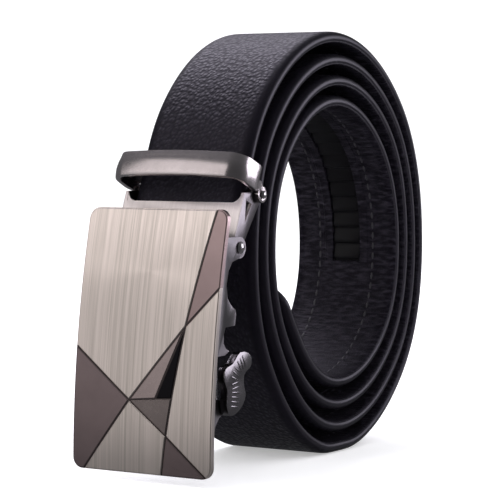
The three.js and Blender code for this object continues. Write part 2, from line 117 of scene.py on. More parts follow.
def join_rings(start: int, rings: int, count: int, capped: bool = True) -> list[tuple[int, ...]]:
    """Join rings of points, one after another, with quads.

    Args:
        start: the number of the first ring's first point.
        rings: how many rings there are.
        count: how many points a ring has.
        capped: whether the first and the last ring are closed with a face each.

    Returns:
        The faces.
    """
    faces: list[tuple[int, ...]] = []
    for i in range(rings - 1):
        for k in range(count):
            a, b = start + i * count + k, start + i * count + (k + 1) % count
            faces.append((a, b, b + count, a + count))
    if capped:
        faces.append(tuple(start + k for k in range(count - 1, -1, -1)))
        faces.append(tuple(start + (rings - 1) * count + k for k in range(count)))
    return faces


@contextmanager
def editing(piece: Piece, kind: str = "", everything: bool = True) -> Iterator[None]:
    """Hold one piece in edit mode.

    Args:
        piece: the piece.
        kind: what is selected, VERT, EDGE or FACE; as it was if empty.
        everything: whether the whole mesh is selected first.

    Yields:
        Nothing, once the mesh is ready for mesh operators.
    """
    make_active(piece)
    bpy.ops.object.mode_set(mode="EDIT")
    if kind:
        bpy.ops.mesh.select_mode(type=kind)
    if everything:
        bpy.ops.mesh.select_all(action="SELECT")
    yield
    bpy.ops.object.mode_set(mode="OBJECT")


def face_outward(piece: Piece, smooth_degrees: float) -> None:
    """Turn a closed piece's faces outward and shade it smooth."""
    with editing(piece):
        bpy.ops.mesh.normals_make_consistent(inside=False)
    smooth_by_angle(piece, smooth_degrees)


def cut_through(mesh: bmesh.types.BMesh, place: Sequence[float], normal: Sequence[float]) -> None:
    """Cut all of a mesh along a plane and keep both sides."""
    bmesh.ops.bisect_plane(
        mesh,
        geom=mesh.verts[:] + mesh.edges[:] + mesh.faces[:],
        plane_co=place,
        plane_no=normal,
        dist=CUT_TOLERANCE,
    )


def apply_modifier(piece: Piece, kind: str, **settings: object) -> None:
    """Add a modifier with the given settings and apply it at once."""
    make_active(piece)
    modifier = piece.modifiers.new(kind.title(), kind)
    for key, value in settings.items():
        setattr(modifier, key, value)
    bpy.ops.object.modifier_apply(modifier=modifier.name)


def smooth_by_angle(piece: Piece, degrees: float = 35.0) -> None:
    """Shade a piece smooth, keeping edges sharper than the angle."""
    make_active(piece)
    bpy.ops.object.shade_smooth_by_angle(angle=math.radians(degrees))


def softened_copy(node: str, name: str, edge: float) -> Piece:
    """Copy a construction node and round its edges.

    Args:
        node: the node to copy.
        name: the copy's name.
        edge: the width of the rounding, in metres.

    Returns:
        The copy, which replaces the node.
    """
    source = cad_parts[node]
    piece = bpy.data.objects.new(name, source.data.copy())
    piece.data.materials.clear()
    bpy.context.scene.collection.objects.link(piece)
    with editing(piece, "EDGE"):
        bpy.ops.mesh.remove_doubles(threshold=0.01 * MM)
        bpy.ops.mesh.dissolve_limited(angle_limit=math.radians(0.6))
    apply_modifier(
        piece,
        "BEVEL",
        width=edge,
        segments=2,
        limit_method="ANGLE",
        angle_limit=math.radians(38),
        use_clamp_overlap=True,
    )
    smooth_by_angle(piece, SOFT_ANGLE)
    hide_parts(node)
    return piece


# Finishes


class Shader:
    """A small builder for one node material."""

    def __init__(self, name: str) -> None:
        """Start an empty material with its surface shader."""
        self.material = bpy.data.materials.new(name)
        self.material.use_nodes = True
        self.tree = self.material.node_tree
        self.surface = self.tree.nodes["Principled BSDF"]

    def node(self, kind: str, **values: object) -> bpy.types.Node:
        """Add a node, setting its properties and its inputs by name.

        Args:
            kind: the node's type name.
            values: properties, or inputs written with spaces as underscores.

        Returns:
            The new node.
        """
        made = self.tree.nodes.new(kind)
        for key, value in values.items():
            if hasattr(made, key):
                setattr(made, key, value)
            else:
                self.feed(self.socket(made, key), value)
        return made

    @staticmethod
    def socket(node: bpy.types.Node, key: str) -> Socket:
        """A node's input by its name, written with underscores for spaces."""
        plain = key.replace("_", " ").lower()
        return next(socket for socket in node.inputs if socket.name.lower() == plain)

    def feed(self, socket: Socket, value: object) -> None:
        """Link a socket to another socket, or set its value."""
        if isinstance(value, Socket):
            self.tree.links.new(value, socket)
        else:
            socket.default_value = value

    def set(self, **values: object) -> None:
        """Set or link the surface shader's inputs."""
        for key, value in values.items():
            self.feed(self.socket(self.surface, key), value)

    def scaled(self, source: Socket, scale: Sequence[float]) -> Socket:
        """Scale a coordinate."""
        return self.node("ShaderNodeMapping", Vector=source, Scale=tuple(scale)).outputs["Vector"]

    def place(self) -> Socket:
        """The piece's own coordinates, in metres."""
        return self.node("ShaderNodeTexCoord").outputs["Object"]

    def noise(
        self, source: Socket, scale: float, detail: float = 2.0, roughness: float = 0.5
    ) -> Socket:
        """The height of a noise over a coordinate."""
        values = {"Vector": source, "Scale": scale, "Detail": detail, "Roughness": roughness}
        return self.node("ShaderNodeTexNoise", **values).outputs["Fac"]

    def maths(
        self, operation: str, a: object, b: object = 0.0, clamp: bool = False
    ) -> Socket:
        """Do one sum on two numbers."""
        made = self.tree.nodes.new("ShaderNodeMath")
        made.operation = operation
        made.use_clamp = clamp
        self.feed(made.inputs[0], a)
        self.feed(made.inputs[1], b)
        return made.outputs[0]

    def between(
        self, value: Socket, low: float, high: float, a: float, b: float
    ) -> Socket:
        """Map a range of one number to another range, clamped."""
        values = {"Value": value, "From_Min": low, "From_Max": high, "To_Min": a, "To_Max": b}
        return self.node("ShaderNodeMapRange", **values).outputs[0]

    def mixed(self, factor: object, a: object, b: object) -> Socket:
        """Mix two colours."""
        made = self.tree.nodes.new("ShaderNodeMix")
        made.data_type = "RGBA"
        self.feed(made.inputs["Factor"], factor)
        self.feed(made.inputs[6], a)
        self.feed(made.inputs[7], b)
        return made.outputs[2]

    def bump(
        self, height: Socket, distance: float, strength: float = 1.0, under: object = None
    ) -> Socket:
        """Turn a height into a normal, over another normal if one is given."""
        made = self.node("ShaderNodeBump", Height=height, Distance=distance, Strength=strength)
        if under is not None:
            self.feed(made.inputs["Normal"], under)
        return made.outputs["Normal"]


def colour(r: float, g: float, b: float) -> tuple[float, float, float, float]:
    """A colour with full alpha."""
    return (r, g, b, 1.0)


def grey(level: float) -> tuple[float, float, float, float]:
    """A grey with full alpha, also used where a mix carries a plain number."""
    return colour(level, level, level)


@dataclass(frozen=True)
class StrapLeather:
    """Black leather: pebbled outside, plain and finely wrinkled inside, with painted edges."""

    grain: float = 1.15 * MM
    grain_depth: float = 0.16 * MM
    wrinkle_depth: float = 0.20 * MM
    face: tuple = colour(0.0046, 0.0040, 0.0066)
    worn: tuple = colour(0.0098, 0.0088, 0.0140)
    back: tuple = colour(0.0240, 0.0215, 0.0290)
    edge: tuple = colour(0.0070, 0.0062, 0.0088)
    shine: tuple = colour(0.90, 0.82, 1.0)
    gloss: float = 0.26
    inner_gloss: float = 0.14
    edge_from: float = 17.05 * MM
    edge_fade: float = 0.25 * MM
    pebbled_to: float = 14.2 * MM
    pebble_fade: float = 1.3 * MM
    plain_share: float = 0.12
    warp_scale: float = 420.0
    fine_scale: float = 3800.0
    fold_scale: float = 900.0
    fold_stretch: float = 0.27
    pore_scale: float = 2600.0
    mottle_scale: float = 55.0
    inner_rough: float = 0.52
    outer_rough: tuple = (0.58, 0.40)
    edge_rough: float = 0.36

    def pebble(self, s: Shader, run: Socket) -> Socket:
        """The height of the pebbled grain: warped round cells and fine noise.

        Args:
            s: the material's builder.
            run: the coordinate along and across the strap.

        Returns:
            The height, from about 0 to 1.2.
        """
        warp = s.node("ShaderNodeTexNoise", Vector=run, Scale=self.warp_scale, Detail=2.0)
        nudge = s.node("ShaderNodeVectorMath", operation="SCALE")
        s.feed(nudge.inputs[0], warp.outputs["Color"])
        s.feed(nudge.inputs["Scale"], 0.9 * self.grain)
        moved = s.node("ShaderNodeVectorMath", operation="ADD")
        s.feed(moved.inputs[0], run)
        s.feed(moved.inputs[1], nudge.outputs[0])
        cells = s.node(
            "ShaderNodeTexVoronoi",
            feature="SMOOTH_F1",
            Vector=moved.outputs[0],
            Scale=1 / self.grain,
            Smoothness=0.35,
        )
        fine = s.noise(run, self.fine_scale, 3.0)
        round_top = s.maths("SUBTRACT", 1.0, s.between(cells.outputs["Distance"], 0.18, 0.75, 0.0, 1.0))
        return s.maths("ADD", round_top, s.maths("MULTIPLY", fine, 0.22))

    def build(self) -> Material:
        """Build the material.

        Returns:
            The material, which reads the strap's UV map and its side and across attributes.
        """
        s = Shader("strap_leather")
        run = s.node("ShaderNodeUVMap", uv_map="strap").outputs["UV"]
        side = s.node("ShaderNodeAttribute", attribute_name="side").outputs["Fac"]
        across = s.node("ShaderNodeAttribute", attribute_name="across").outputs["Fac"]
        outside = s.between(side, -0.15, 0.15, 0.0, 1.0)
        at_edge = s.between(across, self.edge_from, self.edge_from + self.edge_fade, 0.0, 1.0)
        flat = s.maths("SUBTRACT", 1.0, at_edge)
        pebbled = s.between(
            across, self.pebbled_to, self.pebbled_to + self.pebble_fade, 1.0, self.plain_share
        )

        pebble = self.pebble(s, run)
        folds = s.noise(s.scaled(run, (1.0, self.fold_stretch, 1.0)), self.fold_scale, 4.0, 0.6)
        pores = s.noise(run, self.pore_scale)
        wrinkle = s.maths("ADD", folds, s.maths("MULTIPLY", pores, 0.3))
        outer_height = s.maths(
            "MULTIPLY", s.maths("MULTIPLY", pebble, outside), s.maths("MULTIPLY", flat, pebbled)
        )
        inner_height = s.maths(
            "MULTIPLY", s.maths("MULTIPLY", wrinkle, s.maths("SUBTRACT", 1.0, outside)), flat
        )
        first = s.bump(inner_height, self.wrinkle_depth * 3.0, 1.0)
        second = s.bump(outer_height, self.grain_depth, 1.0, first)

        mottle = s.between(s.noise(run, self.mottle_scale, 3.0), 0.3, 0.7, 0.25, 0.8)
        rubbed = s.maths("MULTIPLY", pebble, mottle, clamp=True)
        top = s.mixed(s.maths("MULTIPLY", rubbed, pebbled), self.face, self.worn)
        under = s.mixed(s.between(folds, 0.44, 0.70, 0.0, 1.0), self.face, self.back)
        rough_top = s.between(pebble, 0.2, 1.0, *self.outer_rough)
        rough = s.mixed(outside, grey(self.inner_rough), rough_top)
        shine = s.between(side, -0.9, 0.15, self.inner_gloss, self.gloss)
        lit = s.maths("MAXIMUM", at_edge, s.between(pebbled, self.plain_share, 1.0, 0.45, 1.0))
        s.set(
            Base_Color=s.mixed(at_edge, s.mixed(outside, under, top), self.edge),
            Roughness=s.mixed(at_edge, rough, grey(self.edge_rough)),
            Normal=second,
            Specular_IOR_Level=s.maths("MULTIPLY", shine, lit),
            Specular_Tint=self.shine,
        )
        return s.material


@dataclass(frozen=True)
class MouldedPlastic:
    """Black moulded plastic of the ratchet track."""

    tone: tuple = colour(0.0030, 0.0026, 0.0036)
    light: tuple = colour(0.0050, 0.0044, 0.0058)
    gloss: float = 0.16

    def build(self) -> Material:
        """Build the material."""
        s = Shader("track_plastic")
        fine = s.noise(s.place(), 2500.0, 3.0)
        s.set(
            Base_Color=s.mixed(fine, self.tone, self.light),
            Roughness=s.between(fine, 0.3, 0.7, 0.38, 0.52),
            Normal=s.bump(fine, 0.02 * MM, 0.6),
            Specular_IOR_Level=self.gloss,
        )
        return s.material


@dataclass(frozen=True)
class StitchThread:
    """Waxed black thread."""

    tone: tuple = colour(0.012, 0.011, 0.014)
    light: tuple = colour(0.030, 0.027, 0.034)

    def build(self) -> Material:
        """Build the material."""
        s = Shader("stitch_thread")
        ply = s.noise(s.place(), 4200.0)
        s.set(
            Base_Color=s.mixed(ply, self.tone, self.light),
            Roughness=0.45,
            Normal=s.bump(ply, 0.03 * MM, 0.8),
        )
        return s.material


@dataclass(frozen=True)
class BrushedMetal:
    """Metal brushed along the plate's height."""

    name: str
    tone: tuple
    dark: tuple
    streak_width: float = 0.9 * MM
    roughness: float = 0.33

    def build(self) -> Material:
        """Build the material."""
        s = Shader(self.name)
        place = s.place()
        broad = s.noise(s.scaled(place, (1.0, 0.05, 0.010)), 0.75 / self.streak_width, 2.0, 0.6)
        hair = s.noise(s.scaled(place, (1.0, 0.05, 0.003)), 2.4 / self.streak_width, 3.0, 0.75)
        streak = s.maths("ADD", s.maths("MULTIPLY", broad, 0.45), s.maths("MULTIPLY", hair, 0.55))
        s.set(
            Base_Color=s.mixed(s.between(streak, 0.38, 0.58, 0.0, 1.0), self.dark, self.tone),
            Metallic=1.0,
            Roughness=s.between(hair, 0.3, 0.7, self.roughness + 0.06, self.roughness - 0.05),
            Normal=s.bump(hair, 0.012 * MM, 0.7),
            Anisotropic=0.6,
        )
        return s.material


@dataclass(frozen=True)
class PolishedMetal:
    """Plated metal with a faint waviness and fine handling marks."""

    name: str
    tone: tuple
    roughness: float
    wave: float = 0.010 * MM

    def build(self) -> Material:
        """Build the material."""
        s = Shader(self.name)
        place = s.place()
        slow = s.noise(place, 160.0)
        rub = s.noise(place, 1100.0)
        dim, bright = (colour(*(part * share for part in self.tone[:3])) for share in (0.88, 1.1))
        s.set(
            Base_Color=s.mixed(slow, dim, bright),
            Metallic=1.0,
            Roughness=s.between(rub, 0.3, 0.7, self.roughness * 0.92, self.roughness * 1.12),
            Normal=s.bump(slow, self.wave, 0.5),
        )
        return s.material


# The strap


@dataclass
class Strap:
    """The coiled strap, its window, its ratchet track and its stitches. Lengths in metres."""

    width: float = 35 * MM
    thickness: float = 3.3 * MM
    shoulder_width: float = 2.6 * MM
    shoulder_depth: float = 1.9 * MM
    inner_radius: float = 1.2 * MM
    coil_radius: float = 60 * MM
    share_step: float = 45.0
    rest_share: float = 1.0155
    tail_angle: float = 343.0
    tip_length: float = 10 * MM
    tip_least: float = 0.12
    end_round: float = 0.5 * MM
    end_squeeze: float = 0.16
    mark_offsets: tuple = (-0.35 * MM, -0.3 * MM, 0.3 * MM, 0.35 * MM)
    mark_reach: float = 0.32 * MM
    mark_gap: float = 1.0 * MM
    clamp_slant: float = 22.0
    clearance: float = 0.3 * MM
    start_up: float = 4.5 * MM
    entry_run: float = 29.5 * MM
    coil_from: float = 31.0
    ring_step: float = 1.6 * MM
    groove_depth: float = 1.4 * MM
    window_half: float = 4.75 * MM
    rim_width: float = 2.6 * MM
    rim_height: float = 0.22 * MM
    tail_to_window: float = 103.8 * MM
    track_length: float = 290 * MM
    tooth_pitch: float = 5 * MM
    tooth_height: float = 0.6 * MM
    # A tooth's profile, in shares of its pitch and height.
    tooth: tuple = (
        (0.0, 0.0), (0.12, 0.15), (0.55, 0.85), (0.68, 1.0), (0.8, 1.0), (0.86, 0.85), (0.93, 0.1),
    )
    track_base: float = 0.5 * MM
    stitch_inset: float = 9.3 * MM
    stitch_pitch: float = 3.2 * MM
    stitch_length: float = 2.5 * MM
    stitch_radius: float = 0.38 * MM
    stitch_sides: int = 6
    stitch_start: float = 14 * MM
    stitch_end: float = 6 * MM
    path_step: float = 0.4 * MM
    smooth_reach: int = 18
    # Shares of coil_radius, one every share_step degrees, a row for each turn from the clamp inward.
    turns: tuple = (
        (0.812, 0.908, 0.984, 0.944, 0.903, 0.991, 1.023, 0.835),
        (0.728, 0.787, 0.877, 0.855, 0.824, 0.907, 0.915, 0.722),
        (0.640, 0.685, 0.775, 0.770, 0.739, 0.808, 0.807, 0.647),
        (0.577, 0.615, 0.677, 0.658, 0.647, 0.708, 0.698, 0.553),
        (0.530, 0.560),
    )
    path: np.ndarray = field(default_factory=lambda: np.zeros((0, 2)))
    length: float = 0.0
    middle: Vector = field(default_factory=Vector)

    def radius(self, angle: float) -> float:
        """Radius of the coil's middle line at an angle from the front, through the turns."""
        shares = [share for turn in self.turns for share in turn]
        place = angle / self.share_step
        index = math.floor(place)
        f = place - index
        p0, p1, p2, p3 = (shares[min(max(index + k, 0), len(shares) - 1)] for k in (-1, 0, 1, 2))
        square = (2 * p0 - 5 * p1 + 4 * p2 - p3) * f**2
        cube = (3 * p1 - p0 - 3 * p2 + p3) * f**3
        return self.coil_radius * (2 * p1 + (p2 - p0) * f + square + cube) / 2

    def coil_point(self, angle: float) -> np.ndarray:
        """A point of the coil's middle line, (y, z) from the coil's centre."""
        r = self.radius(angle)
        return np.array([-r * math.cos(math.radians(angle)), r * math.sin(math.radians(angle))])

    def directions(self) -> tuple[np.ndarray, np.ndarray]:
        """The clamp's own directions, up along the strap and back through it."""
        slant = math.radians(self.clamp_slant)
        return np.array([math.sin(slant), math.cos(slant)]), np.array([math.cos(slant), -math.sin(slant)])

    def centre(self) -> Vector:
        """The coil's centre, from the hinge pin that the strap's end is clamped beside."""
        low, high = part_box("hinge_pin")
        pin = (low + high) / 2
        up, back = self.directions()
        behind = self.clearance + self.thickness / 2
        rel = self.coil_point(self.coil_from) - up * self.entry_run - back * behind
        return Vector((pin.x, pin.y - rel[0], pin.z - rel[1]))

    def lay_path(self) -> None:
        """Work out the middle line in even steps and keep it, with its length."""
        up, back = self.directions()
        start = self.coil_point(self.coil_from) - up * (self.entry_run - self.start_up)
        straight = self.entry_run - self.start_up
        line = [start + up * t for t in np.linspace(0, straight, 60, endpoint=False)]
        last = 360.0 * (len(self.turns) - 2) + self.tail_angle
        angles = [*np.arange(self.coil_from, last, 0.5), last]
        points = np.array(line + [self.coil_point(a) for a in angles])
        rest = -self.rest_share * self.coil_radius
        points[:, 1] = np.maximum(points[:, 1], rest)
        points = self.even(points, self.path_step)
        reach = self.smooth_reach
        kernel = np.exp(-0.5 * (np.arange(-reach, reach + 1) / (reach / 3)) ** 2)
        kernel /= kernel.sum()
        before = 2 * points[:1] - points[reach:0:-1]
        after = 2 * points[-1:] - points[-2 : -2 - reach : -1]
        padded = np.vstack([before, points, after])
        points = np.stack([np.convolve(padded[:, k], kernel, mode="valid") for k in (0, 1)], axis=1)
        points[:, 1] = np.maximum(points[:, 1], rest)
        self.path = self.even(points, self.path_step)
        self.length = float(np.linalg.norm(np.diff(self.path, axis=0), axis=1).sum())

    @staticmethod
    def even(points: np.ndarray, step: float) -> np.ndarray:
        """Space a line's points evenly.

        Args:
            points: the line's points.
            step: the wanted spacing.

        Returns:
            The new points.
        """
        run = np.concatenate([[0.0], np.cumsum(np.linalg.norm(np.diff(points, axis=0), axis=1))])
        places = np.linspace(0, run[-1], max(2, int(round(run[-1] / step)) + 1))
        return np.stack([np.interp(places, run, points[:, k]) for k in (0, 1)], axis=1)

    def at(self, s: float, offset: float = 0.0) -> tuple[np.ndarray, np.ndarray]:
        """A point beside the middle line and the way out of the coil there.

        Args:
            s: the distance along the strap.
            offset: how far out of the coil the point lies.

        Returns:
            The point and the outward direction, both (y, z) from the coil's centre.
        """
        step = self.length / (len(self.path) - 1)
        place = min(max(s / step, 0.0), len(self.path) - 1.001)
        i = int(place)
        f = place - i
        a, b = self.path[i], self.path[i + 1]
        before, after = self.path[max(i - 2, 0)], self.path[min(i + 3, len(self.path) - 1)]
        run = after - before
        run = run / np.linalg.norm(run)
        out = np.array([-run[1], run[0]])
        return a * (1 - f) + b * f + out * offset, out

    def section(self, in_window: float) -> list[Point3]:
        """The strap's outline across its width.

        Args:
            in_window: 1 inside the window's stretch, 0 outside it.

        Returns:
            For each point its place across, its offset out of the coil and its side, -1 to 1.
        """
        half, t, r = self.width / 2, self.thickness / 2, self.inner_radius
        wide, deep = self.shoulder_width, self.shoulder_depth
        points: list[Point3] = [(x, t, 1.0) for x in np.linspace(0, half - wide, 8)]
        for cos, sin, a in arc(75, 0, 6):
            points.append((half - wide + wide * cos, t - deep + deep * sin, 0.2 + 0.8 * a / 90))
        for cos, sin, a in arc(0, -90, 6):
            points.append((half - r + r * cos, -t + r + r * sin, -0.2 + 0.8 * a / 90))
        rim = self.window_half + self.rim_width
        lift = self.rim_height * in_window
        floor = -t + self.groove_depth * in_window
        for x in (rim + 2.5 * MM, rim + 0.25 * MM):
            points.append((x, -t, -1.0))
        for x in (rim, self.window_half + 0.25 * MM, self.window_half + 0.05 * MM):
            points.append((x, -t - (lift if x < rim + 1e-9 else 0.0), -1.0))
        points.append((self.window_half, floor, -1.0))
        points.append((0.0, floor, -1.0))
        mirrored = [(-x, o, s) for x, o, s in reversed(points[1:-1])]
        return points + mirrored

    def spot(self, s: float, across: float, offset: float) -> Point3:
        """The place in the scene of a point on the strap.

        Args:
            s: the distance along the strap.
            across: the distance from the strap's middle, towards the lever's side.
            offset: how far out of the coil the point lies from the middle line.

        Returns:
            The place, (x, y, z).
        """
        p, _ = self.at(s, offset)
        return self.middle.x + across, self.middle.y + p[0], self.middle.z + p[1]

    def window(self) -> tuple[float, float]:
        """Where the window begins and ends along the strap."""
        end = self.length - self.tail_to_window
        return end - self.track_length, end

    def tip_share(self, left: float) -> float:
        """How wide the strap is in its round tip, as a share of its width.

        Args:
            left: the distance to the strap's free end.
        """
        into = min(max(1.0 - left / self.tip_length, 0.0), 1.0)
        return max(math.sqrt(1.0 - into**2), self.tip_least)

    def ring_places(self) -> list[float]:
        """Where the strap's outlines lie along it, closer at the window's ends and in the tip."""
        marks = self.window()
        tip_from = self.length - self.tip_length
        places = [
            p
            for p in np.linspace(0, self.length, int(self.length / self.ring_step))
            if p < tip_from - self.end_round and all(abs(p - m) > self.mark_gap for m in marks)
        ]
        places += [m + d for m in marks for d in self.mark_offsets]
        places += [tip_from + self.tip_length * math.sin(math.radians(a)) for a in range(0, 91, 6)]
        return sorted(places)

    def build_band(self) -> Piece:
        """Loft the strap with its window, rim and painted edges.

        Returns:
            The strap, which replaces its construction node.
        """
        start, end = self.window()
        places = self.ring_places()
        points: list[Point3] = []
        side, across, runs, breadths = [], [], [], []
        reach = self.mark_reach
        for s in places:
            ring = self.section(1.0 if start - reach < s < end + reach else 0.0)
            squeeze = 1.0 - self.end_squeeze * math.exp(-min(s, self.length - s) / self.end_round)
            narrow = self.tip_share(self.length - s)
            breadth = 0.0
            last_x, last_offset = ring[0][:2]
            for x, offset, facing in ring:
                points.append(self.spot(s, x * narrow, offset * squeeze))
                side.append(facing)
                across.append(abs(x))
                breadth += math.hypot(x - last_x, offset - last_offset)
                last_x, last_offset = x, offset
                runs.append(s)
                breadths.append(breadth)
        piece = mesh_piece("strap_band", points, join_rings(0, len(places), len(ring)))
        self.map_band(piece.data, np.array(list(zip(runs, breadths))), len(places), ring)
        for name, values in (("side", side), ("across", across)):
            layer = piece.data.attributes.new(name, "FLOAT", "POINT")
            layer.data.foreach_set("value", np.array(values, dtype=np.float32))
        face_outward(piece, 40)
        piece.data.materials.append(StrapLeather().build())
        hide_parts("strap")
        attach(piece, "belt")
        return piece

    @staticmethod
    def map_band(mesh: bpy.types.Mesh, per_point: np.ndarray, rings: int, ring: list[Point3]) -> None:
        """Give the band its UV map, in metres along and round the strap.

        Args:
            mesh: the band's mesh, whose first faces are the quads between the rings.
            per_point: each point's distances along and round the strap.
            rings: how many rings there are.
            ring: the last ring's outline.
        """
        uv = mesh.uv_layers.new(name="strap")
        count = len(ring)
        used = np.zeros(len(mesh.loops), dtype=np.int32)
        mesh.loops.foreach_get("vertex_index", used)
        spread = per_point[used]
        first = np.repeat(used[0::4][: (rings - 1) * count] % count == count - 1, 4)
        closing = np.zeros(len(used), dtype=bool)
        closing[: len(first)] = first & (used[: len(first)] % count == 0)
        spread[closing, 1] = per_point[count - 1, 1] + abs(ring[-1][0])
        uv.data.foreach_set("uv", spread.ravel().astype(np.float32))

    def build_track(self) -> Piece:
        """Build the ratchet track: a toothed strip in the window, with rounded tooth tips."""
        start, end = self.window()
        half = self.window_half - self.clearance
        floor = -self.thickness / 2 + self.groove_depth - self.clearance
        face = floor - self.track_base
        teeth = int(round((end - start) / self.tooth_pitch))
        stations = [
            (start + (i + u) * self.tooth_pitch, lift * self.tooth_height)
            for i in range(teeth)
            for u, lift in self.tooth
        ]
        stations.append((end, 0.0))
        lanes = ((-half, 0.75), (-half * 0.93, 1.0), (half * 0.93, 1.0), (half, 0.75))
        points: list[Point3] = []
        for s, lift in stations:
            points += [self.spot(s, x, face - lift * share) for x, share in lanes]
            points += [self.spot(s, x, floor) for x in (half, -half)]
        piece = mesh_piece("toothed_track", points, join_rings(0, len(stations), len(lanes) + 2))
        face_outward(piece, 30)
        piece.data.materials.append(MouldedPlastic().build())
        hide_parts("ratchet_track")
        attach(piece, "belt")
        return piece

    def build_stitches(self) -> Piece:
        """Lay two rows of stitches on the inner face, one stitch modelled and repeated."""
        base = -self.thickness / 2
        shape = ((-0.5, 0.0), (-0.36, 0.75), (0.0, 1.0), (0.36, 0.75), (0.5, 0.0))
        points: list[Point3] = []
        faces: list[tuple[int, ...]] = []
        first = self.start_up + self.stitch_start
        count = int((self.length - self.stitch_end - first) / self.stitch_pitch)
        for row in (-1, 1):
            for i in range(count):
                start = len(points)
                for u, swell in shape:
                    s = first + i * self.stitch_pitch + u * self.stitch_length
                    r = self.stitch_radius * max(swell, 0.25)
                    sink = (1 - swell) * 0.22 * MM
                    for cos, sin in circle(self.stitch_sides):
                        depth = base + sink - 0.02 * MM - 0.55 * r * sin
                        points.append(self.spot(s, row * self.stitch_inset + r * cos, depth))
                faces += join_rings(start, len(shape), self.stitch_sides)
        piece = mesh_piece("inner_stitches", points, faces)
        face_outward(piece, 60)
        piece.data.materials.append(StitchThread().build())
        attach(piece, "belt")
        return piece

    def build(self) -> list[Piece]:
        """Build the strap's pieces."""
        self.lay_path()
        self.middle = self.centre()
        return [self.build_band(), self.build_track(), self.build_stitches()]


# The faceplate


class Finish(Enum):
    """The finishes of the plate's facets; the polished facets' tones are painted reflections."""

    BRUSHED = 0
    LEFT = 1
    SLIVER = 2
    LOW = 3
    PINK_REFLECTION = 4
    BLACK = 5
    SMOKE = 6
    GROOVE = 7


@dataclass(frozen=True)
class Facet:
    """One facet of the plate: its corners, by name, and its finish, with a painted reflection tone on a
    polished facet.
    """

    corners: str
    finish: Finish


